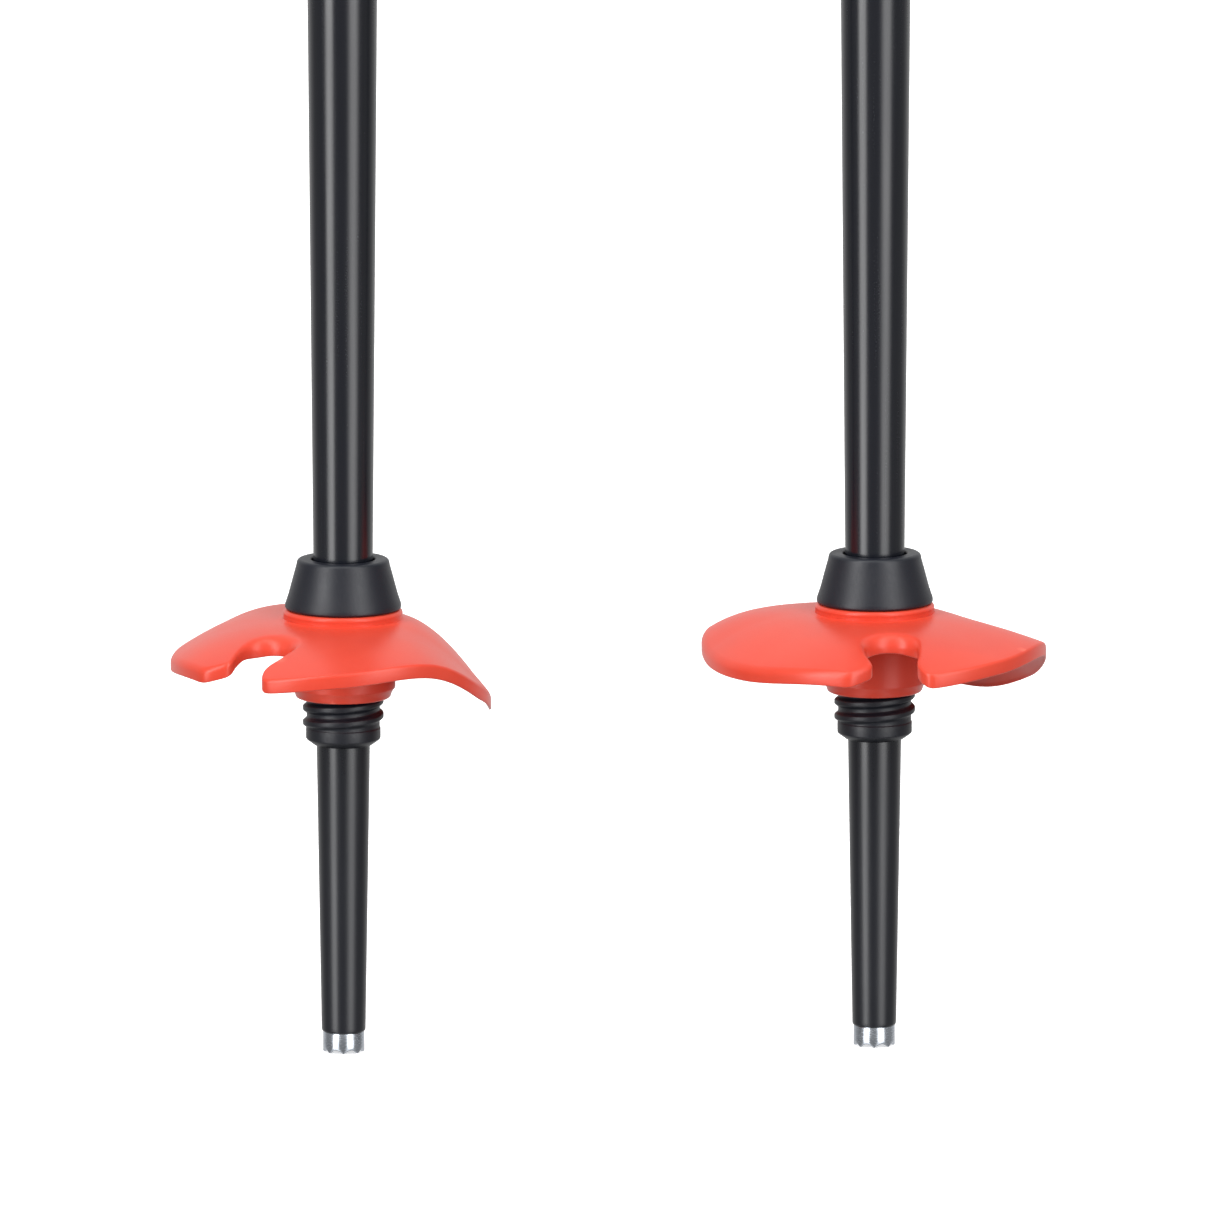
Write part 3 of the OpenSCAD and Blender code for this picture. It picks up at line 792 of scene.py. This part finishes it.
# node, body, slot, material, edge width in millimetres
HARD_PARTS = (
    ("upper_shaft", "upper", "black_tube", TUBE, 0.2),
    ("mouth_ring", "upper", "sleeve_plastic", SLEEVE, 0.3),
    ("clamp_band", "upper", "lock_plastic", LOCK, 0.45),
    ("cam_washer", "upper", "washer_plastic", WASHER, 0.25),
    ("lever_pin", "upper", "pin_steel", BRIGHT_STEEL, 0.25),
    ("lock_lever", "lever", "lock_plastic", LOCK, 0.6),
    ("clamp_nut", "nut", "nut_aluminium", NUT_ALUMINIUM, 0.25),
    ("foam_collar", "upper", "sleeve_plastic", SLEEVE, 0.4),
    ("grip_core", "upper", "sleeve_plastic", SLEEVE, 0.5),
    ("strap_wedge", "wedge", "basket_red", RED, 0.8))
for side in SIDES:
    for node, body, slot, material, width in HARD_PARTS:
        softened(side, node, body, material, width)


LEVER_OUT_R = 15.2
LEVER_MID_Z = 279.0
RIB_ANGLES = (205, 211, 217, 223)    # degrees from +X, on the lever's free end
RIB_HALF_H = 5.6
RIB_HALF_W = 0.45
RIB_DEPTH = 0.35


def lever_rib_mesh():
    """Upright ribs for the thumb, with blunt ends."""
    rows, sides = 13, 8
    vertices, faces = [], []
    for angle in RIB_ANGLES:
        a = math.radians(angle)
        out, along = Vector((math.cos(a), math.sin(a), 0)), Vector((-math.sin(a), math.cos(a), 0))
        faces += capped_grid_faces(rows, sides, len(vertices))
        for j in range(rows):
            u = 2 * j / (rows - 1) - 1
            size = math.sqrt(max(0.04, 1 - u ** 6))
            for k in range(sides):
                turn = 2 * math.pi * k / sides
                p = out * (LEVER_OUT_R - 0.1 + RIB_DEPTH * size * math.cos(turn))
                p += along * RIB_HALF_W * size * math.sin(turn)
                vertices.append((p.x, p.y, LEVER_MID_Z + RIB_HALF_H * u))
    return vertices, faces


LEVER_RIBS = lever_rib_mesh()
for side in SIDES:
    add_piece("lever_ribs", *LEVER_RIBS, side, None, "lever", "lock_plastic", LOCK)


# -------- grips

SLEEVE_FOAM_Z = (690.0, 841.9)       # bottom and top of the lower grip
SLEEVE_FOAM_R = 14.4
SLEEVE_FOAM_BORE_R = 9.03
SLEEVE_FOAM_END_R = 1.3              # rounding of its ends
SLEEVE_WAVES = 9
WAVE_DEPTH = 1.15
HANDLE_Z = (848.1, 972.0)            # bottom and top of the handle's foam
HANDLE_BORE_R = 12.02
HANDLE_END_R = 1.1
HANDLE_POWER = 2.3                   # of its superelliptic section
RIBS_LOW_Z, RIBS_HIGH_Z = 868, 958   # where the fine ribs behind begin and end
RIB_PITCH = 5.2
CAP_LOW_Z = 976.0
POLE_TOP_Z = 1000.0
CAP_POWER = 2.7
CAP_FRONT, CAP_BACK, CAP_HALF_W = 20, 24, 17.6
PARTING_Z = 979.5                    # a shallow groove round the cap
STRAP_Y, STRAP_Z = 19.0, 984.0       # the pin the strap hangs from
SLOT_HALF_W = 9.8
SLOT_Y = STRAP_Y - 4.8
CAP_PIN_HALF = 10.9                  # half the length of the pin that shows
CAP_PIN_R = 1.6


def oval_point(angle, wide, front, back, power):
    """Point of a superellipse that is deeper behind (+Y) than in front."""
    c, s = math.cos(angle), math.sin(angle)
    deep = front if s < 0 else back
    return (wide * math.copysign(abs(c) ** (2 / power), c),
            deep * math.copysign(abs(s) ** (2 / power), s))


def end_inset(from_end, radius):
    """How far a rounded end pulls in at a distance from it."""
    if from_end >= radius:
        return 0.0
    return radius - math.sqrt(max(0.0, radius ** 2 - (radius - from_end) ** 2))


def spaced_heights(low, high, radius, rows):
    """Heights from low to high, close together over the rounded ends."""
    ends = [radius * (1 - math.cos(math.radians(a))) for a in (0, 18, 36, 54, 72, 90)]
    middle = [low + radius + (high - low - 2 * radius) * i / rows for i in range(1, rows)]
    return [low + e for e in ends] + middle + [high - e for e in reversed(ends)]


def foam_sleeve_mesh():
    """Lower grip: a soft tube with shallow waves and rounded ends."""
    low, high = SLEEVE_FOAM_Z
    outline = [(SLEEVE_FOAM_BORE_R, low + 0.02), (SLEEVE_FOAM_BORE_R + 2.5, low)]
    for z in spaced_heights(low, high, SLEEVE_FOAM_END_R, 210):
        t = (z - low) / (high - low)
        from_end = min(z - low, high - z)
        wave = (0.5 + 0.5 * math.cos(2 * math.pi * SLEEVE_WAVES * t)) ** 3
        r = SLEEVE_FOAM_R - WAVE_DEPTH * wave * eased((from_end - 6) / 5)
        outline.append((r - end_inset(from_end, SLEEVE_FOAM_END_R), z))
    outline += [(SLEEVE_FOAM_BORE_R + 2.5, high), (SLEEVE_FOAM_BORE_R, high - 0.02)]
    return turned_mesh(outline, 96)


def handle_foam_mesh():
    """Handle foam: an oval that swells in the palm, finger hollows in front, fine ribs behind."""
    columns = 112
    low, high = HANDLE_Z
    heights = spaced_heights(low, high, HANDLE_END_R, 190)
    angles = [2 * math.pi * i / columns for i in range(columns)]
    vertices = []
    for z in heights:
        t = (z - low) / (high - low)
        swell = math.sin(math.pi * t)
        inset = end_inset(min(z - low, high - z), HANDLE_END_R)
        front = 15.6 + 2.2 * swell - 0.55 * (1 - math.cos(8 * math.pi * t))
        rib = (0.5 + 0.5 * math.cos(2 * math.pi * z / RIB_PITCH)) ** 4
        rib *= eased((z - RIBS_LOW_Z) / 12) * eased((RIBS_HIGH_Z - z) / 12)
        for a in angles:
            x, y = oval_point(a, 13.9 + 1.2 * swell, front, 14 + 1.4 * swell, HANDLE_POWER)
            behind = eased((math.sin(a) - 0.35) / 0.3)
            r = math.hypot(x, y)
            k = (r - inset - 0.5 * rib * behind) / r
            vertices.append((x * k, y * k, z))
    for z in (high, low):
        vertices += [(HANDLE_BORE_R * math.cos(a), HANDLE_BORE_R * math.sin(a), z) for a in angles]
    return vertices, closed_grid_faces(len(heights) + 2, columns)


def grip_cap_mesh():
    """Cap: a rounded palm rest with a fork behind for the strap's pin."""
    front_steps, wall_steps, back_steps, rows = 120, 8, 14, 40
    height = POLE_TOP_Z - CAP_LOW_Z
    # share of the height, and how far the rounded lower edge pulls in there
    stations = [(0.0, 1.6), (0.004, 0.95), (0.015, 0.45), (0.03, 0.15), (0.05, 0.0)]
    stations += [(0.05 + 0.95 * math.sin(math.pi / 2 * i / rows), 0.0) for i in range(1, rows)]
    vertices = []
    for t, inset in stations:
        z = CAP_LOW_Z + height * t
        size = math.sqrt(max(0.0009, 1 - t ** 3.2))
        inset += 0.35 * math.exp(-((z - PARTING_Z) / 0.45) ** 2)
        wide = CAP_HALF_W * (0.93 + 0.07 * math.sin(math.pi / 2 * t)) * size - inset
        front, back = CAP_FRONT * size - inset, CAP_BACK * size - inset
        # where the slot meets the oval, then round the front from one side of it to the other
        edge = SLOT_HALF_W if wide > SLOT_HALF_W + 0.4 else max(wide - 0.4, 0.3 * wide)
        first = math.acos(min(1.0, (edge / wide) ** (CAP_POWER / 2)))
        ring = []
        for i in range(front_steps + 1):
            a = first - (math.pi + 2 * first) * i / front_steps
            ring.append(oval_point(a, wide, front, back, CAP_POWER))
        left = ring[-1]
        floor_y = min(SLOT_Y, left[1])
        for i in range(1, wall_steps + 1):
            ring.append((left[0], left[1] + (floor_y - left[1]) * i / wall_steps))
        for i in range(1, back_steps):
            x = left[0] + (ring[0][0] - left[0]) * i / back_steps
            behind = back * (1 - min(1.0, abs(x) / wide) ** CAP_POWER) ** (1 / CAP_POWER)
            ring.append((x, min(SLOT_Y, behind)))
        for i in range(wall_steps):
            ring.append((ring[0][0], floor_y + (ring[0][1] - floor_y) * i / wall_steps))
        vertices += [(p.x, p.y, z) for p in rounded([Vector(p) for p in ring], 3)]
    return vertices, capped_grid_faces(len(stations), len(vertices) // len(stations))


def cap_pin_mesh():
    """The strap's pin, with chamfered ends that stay inside the fork."""
    columns, chamfer, vertices = 48, 0.4, []
    stations = ((-CAP_PIN_HALF, CAP_PIN_R - chamfer), (-CAP_PIN_HALF + chamfer, CAP_PIN_R),
                (CAP_PIN_HALF - chamfer, CAP_PIN_R), (CAP_PIN_HALF, CAP_PIN_R - chamfer))
    for x, r in stations:
        for i in range(columns):
            a = 2 * math.pi * i / columns
            vertices.append((x, STRAP_Y + r * math.cos(a), STRAP_Z + r * math.sin(a)))
    return vertices, capped_grid_faces(len(stations), columns)


FOAM_SLEEVE_MESH, HANDLE_FOAM_MESH = foam_sleeve_mesh(), handle_foam_mesh()
CAP_MESH, CAP_PIN_MESH = grip_cap_mesh(), cap_pin_mesh()
for side in SIDES:
    sleeve = add_piece("lower_grip_foam", *FOAM_SLEEVE_MESH, side, "foam_sleeve", "upper", "foam", FOAM)
    handle = add_piece("handle_foam", *HANDLE_FOAM_MESH, side, "grip_foam", "upper", "foam", FOAM)
    add_piece("palm_cap", *CAP_MESH, side, "grip_cap", "upper", "lock_plastic", LOCK)
    add_piece("cap_pin", *CAP_PIN_MESH, side, "strap_pin", "upper", "pin_steel", BRIGHT_STEEL)


# -------- wrist straps

LOOP_Y, LOOP_Z = 48.0, 838.0         # middle of the loop's lower bend
PIN_BEND_R = 1.9                     # inside radius of the strap round its pin
LOOP_R = 21.8                        # inside radius of the lower bend
WEB_W, WEB_T = 18.0, 2.2
WEB_EDGE = 0.75                      # how far a selvedge curves in
SELVEDGE = 3.2                       # width of the thinner strip along it
PAD_W = 30.0
PAD_T, PAD_CROWN = 1.1, 2.75         # thickness of the pad's edge, and what its middle adds
PAD_BINDING = 0.9                    # width of the bound edge
PAD_SEAM = 0.46                      # share of the half width where its long seams run
PAD_END = math.radians(-11.7)        # where the pad's ends come to, from the horizontal
SEAM_X, SEAM_STITCHES = 6.4, 44      # the two rows over the pad
SEAM_STITCH, TACK_STITCH = 1.15, 0.95
TACK_STITCHES, TACK_PITCH = 11, 1.12
THREAD_HALF_W, THREAD_HALF_T = 0.3, 0.14


def strap_path(spacing):
    """Points of the inner face in (y, z) with their outward normals."""
    pin, bend = Vector((STRAP_Y, STRAP_Z)), Vector((LOOP_Y, LOOP_Z))
    line = bend - pin
    lean = math.atan2(line.y, line.x)
    spread = math.acos((PIN_BEND_R - LOOP_R) / line.length)
    path = []

    def bend_round(centre, radius, start, end):
        steps = max(4, math.ceil(abs(end - start) * (radius + WEB_T) / spacing))
        for i in range(steps + 1):
            a = start + (end - start) * i / steps
            normal = Vector((math.cos(a), math.sin(a)))
            path.append((centre + normal * radius, normal))

    def straight(start, end, angle):
        steps = math.ceil((end - start).length / spacing)
        normal = Vector((math.cos(angle), math.sin(angle)))
        for i in range(1, steps):
            path.append((start.lerp(end, i / steps), normal))

    one, two = lean + spread, lean - spread
    normal_one, normal_two = (Vector((math.cos(a), math.sin(a))) for a in (one, two))
    bend_round(bend, LOOP_R, two, one)
    straight(bend + normal_one * LOOP_R, pin + normal_one * PIN_BEND_R, one)
    bend_round(pin, PIN_BEND_R, one, two + 2 * math.pi)
    straight(pin + normal_two * PIN_BEND_R, bend + normal_two * LOOP_R, two)
    return path


def strap_mesh():
    """Webbing loop: its section is thin at the selvedges and ribbed a little along its length."""
    path = strap_path(1.6)
    section = []                     # across the web, then out from its inner face
    half, flat, stations = WEB_W / 2, WEB_W / 2 - WEB_EDGE, 22

    def selvedge(sign, angles):
        for a in map(math.radians, angles):
            section.append((sign * (flat + WEB_EDGE * math.cos(a)), 0.9 + 0.6 * math.sin(a)))

    def thinner(x):
        return eased((abs(x) - half + SELVEDGE) / 2.2)

    for i in range(stations + 1):
        x = flat * (2 * i / stations - 1)
        section.append((x, WEB_T - 0.1 - 0.28 * thinner(x) + 0.09 * math.cos(math.pi * i)))
    selvedge(1, (60, 30, 0, -30, -60))
    for i in range(stations, -1, -1):
        x = flat * (2 * i / stations - 1)
        section.append((x, 0.08 + 0.2 * thinner(x)))
    selvedge(-1, (-60, -30, 0, 30, 60))
    vertices = [(x, p.x + n.x * out, p.y + n.y * out) for p, n in path for x, out in section]
    return vertices, closed_grid_faces(len(path), len(section))


def stitches_mesh():
    """Two rows of stitches along the web over the pad, and a boxed bar tack below the cap."""
    vertices, faces = [], []

    def stitch(middle, along, normal, length):
        across = along.cross(normal)
        rows, sides = 5, 6
        faces.extend(capped_grid_faces(rows, sides, len(vertices)))
        for j in range(rows):
            u = 2 * j / (rows - 1) - 1
            size = math.sqrt(max(0.05, 1 - u * u))
            for k in range(sides):
                a = 2 * math.pi * k / sides
                p = middle + along * (u * length / 2) + normal * (THREAD_HALF_T * size * math.sin(a))
                vertices.append(tuple(p + across * (THREAD_HALF_W * size * math.cos(a))))

    def surface(angle):
        normal = Vector((0, math.cos(angle), math.sin(angle)))
        middle = Vector((0, LOOP_Y, LOOP_Z)) + normal * (LOOP_R + WEB_T - 0.12)
        return middle, normal, Vector((0, -math.sin(angle), math.cos(angle)))

    for i in range(SEAM_STITCHES):
        middle, normal, along = surface(PAD_END - (math.pi + 2 * PAD_END) * (i + 0.5) / SEAM_STITCHES)
        for x in (-SEAM_X, SEAM_X):
            stitch(middle + Vector((x, 0, 0)), along, normal, SEAM_STITCH)
    for angle in (PAD_END - 0.08, math.pi - PAD_END + 0.08):
        middle, normal, along = surface(angle)
        for i in range(TACK_STITCHES):
            x = TACK_PITCH * (i - (TACK_STITCHES - 1) / 2)
            for shift in (-1.2, 1.2):
                stitch(middle + along * shift + Vector((x, 0, 0)), Vector((1, 0, 0)), normal, TACK_STITCH)
    return vertices, faces


def pad_mesh():
    """Crescent pad inside the bend: crowned towards the wrist, with sewn channels and a bound edge."""
    along_steps, across_steps, under_steps = 120, 44, 12
    out_r = LOOP_R - 0.15
    rows = []

    def thickness(u, v):
        crown = (max(0.0, 1 - abs(v) ** 4) * max(0.0, 1 - abs(u) ** 10)) ** 0.5
        channels = max(math.exp(-((u * 3.5 - k) / 0.085) ** 2) for k in (-2, -1, 0, 1, 2))
        seams = math.exp(-((abs(v) - PAD_SEAM) / 0.03) ** 2)
        return PAD_T + PAD_CROWN * crown * (1 - 0.5 * max(channels, seams))

    # a loop round each section: over the wrist's side, round the bound edge, back along the web's side
    for j in range(along_steps + 1):
        u = 2 * j / along_steps - 1
        angle = u * (math.pi / 2 + PAD_END) - math.pi / 2
        half = PAD_W / 2 * (1 - abs(u) ** 7 * 0.9) ** 0.5
        section = []

        def bound_edge(sign, angles):
            for a in map(math.radians, angles):
                section.append((sign * (half - PAD_BINDING + 0.85 * math.cos(a)),
                                0.85 + 0.75 * math.sin(a)))

        for i in range(across_steps + 1):
            v = 2 * i / across_steps - 1
            section.append((v * (half - PAD_BINDING), thickness(u, v)))
        bound_edge(1, (60, 25, -10, -45))
        for i in range(under_steps, -1, -1):
            section.append(((2 * i / under_steps - 1) * (half - 1.4), 0.0))
        bound_edge(-1, (-45, -10, 25, 60))
        rows.append([(x, LOOP_Y + (out_r - depth) * math.cos(angle),
                      LOOP_Z + (out_r - depth) * math.sin(angle)) for x, depth in section])
    return [p for row in rows for p in row], capped_grid_faces(len(rows), len(rows[0]))


STRAP_MESH, STITCHES_MESH, PAD_MESH = strap_mesh(), stitches_mesh(), pad_mesh()
for side in SIDES:
    add_piece("wrist_strap", *STRAP_MESH, side, "strap", "strap", "webbing", WEBBING)
    add_piece("strap_stitches", *STITCHES_MESH, side, None, "strap", "webbing", THREAD)
    pad = add_piece("wrist_pad", *PAD_MESH, side, "strap_pad", "strap", "pad_fabric", PAD)


# -------- floor and light

FLOOR_RADIUS = 60
FLOOR_GLOW = 0.5             # the floor's own light, which reaches the camera and nothing else


def make_floor():
    mesh = bpy.data.meshes.new("floor")
    angles = [math.radians(a) for a in range(0, 360, 5)]
    mesh.from_pydata([(FLOOR_RADIUS * math.cos(a), FLOOR_RADIUS * math.sin(a), 0) for a in angles], [],
                     [tuple(range(len(angles)))])
    material, shader = new_material("floor_white", (0.93, 0.93, 0.93), 0.9)
    shader.inputs["Emission Color"].default_value = (1, 1, 1, 1)
    shader.inputs["Emission Strength"].default_value = FLOOR_GLOW
    mesh.materials.append(material)
    floor = bpy.data.objects.new("floor", mesh)
    SCENE.collection.objects.link(floor)
    floor.visible_glossy = False
    floor.visible_diffuse = False


# the studio as the poles see it, by direction: level of light, degrees from the camera's side
FRONT_LEVEL = 0.30
BACK_LEVEL = 0.76
BACK_FROM, BACK_FULL = 108, 140
KEY_BOX = (-45, 8, 8, 6.4)    # azimuth, half width, soft edge, level
FILL_BOX = (38, 7, 15, 4.4)
BOX_FOOT_SHARE = 0.25         # what is left of the boxes' light below their lower edges
CEILING_LEVEL = 0.15
BELOW_SHARE = 0.95            # how much of that comes from far below the horizon


def make_world():
    """White paper behind, two upright soft boxes in front, a soft ceiling and dim sides."""
    world = bpy.data.worlds.new("studio")
    SCENE.world = world
    world.use_nodes = True
    tree = world.node_tree
    background = tree.nodes["Background"]
    direction = add_node(tree, "ShaderNodeTexCoord").outputs["Generated"]
    place = add_node(tree, "ShaderNodeSeparateXYZ", {0: direction})
    x, y, z = (place.outputs[k] for k in "XYZ")
    toward = maths(tree, "MULTIPLY", y, -1.0)
    azimuth = maths(tree, "ARCTAN2", x, toward)        # 0 at the camera, + towards +X
    turned_away = maths(tree, "ABSOLUTE", azimuth)

    def upright_box(centre, half, soft, strength):
        off = maths(tree, "ABSOLUTE", maths(tree, "SUBTRACT", azimuth, math.radians(centre)))
        return ranged(tree, off, strength, 0.0, math.radians(half), math.radians(half + soft))

    level = ranged(tree, turned_away, FRONT_LEVEL, BACK_LEVEL, math.radians(BACK_FROM),
                   math.radians(BACK_FULL))
    boxes = maths(tree, "ADD", upright_box(*KEY_BOX), upright_box(*FILL_BOX))
    boxes = maths(tree, "MULTIPLY", boxes, ranged(tree, z, BOX_FOOT_SHARE, 1.0, -0.25, -0.17))
    level = maths(tree, "ADD", level, boxes)
    level = maths(tree, "MULTIPLY", level, ranged(tree, z, BELOW_SHARE, 1.0, -0.55, -0.25))
    level = maths(tree, "ADD", level, ranged(tree, z, 0.0, CEILING_LEVEL, 0.35, 0.85))
    is_camera = add_node(tree, "ShaderNodeLightPath").outputs["Is Camera Ray"]
    seen = add_node(tree, "ShaderNodeMix", {0: is_camera, 2: level, 3: 1.0}).outputs[0]
    tree.links.new(seen, background.inputs["Strength"])
    background.inputs["Color"].default_value = (1, 1, 1, 1)


make_floor()
make_world()
SCENE.view_settings.view_transform = "Standard"
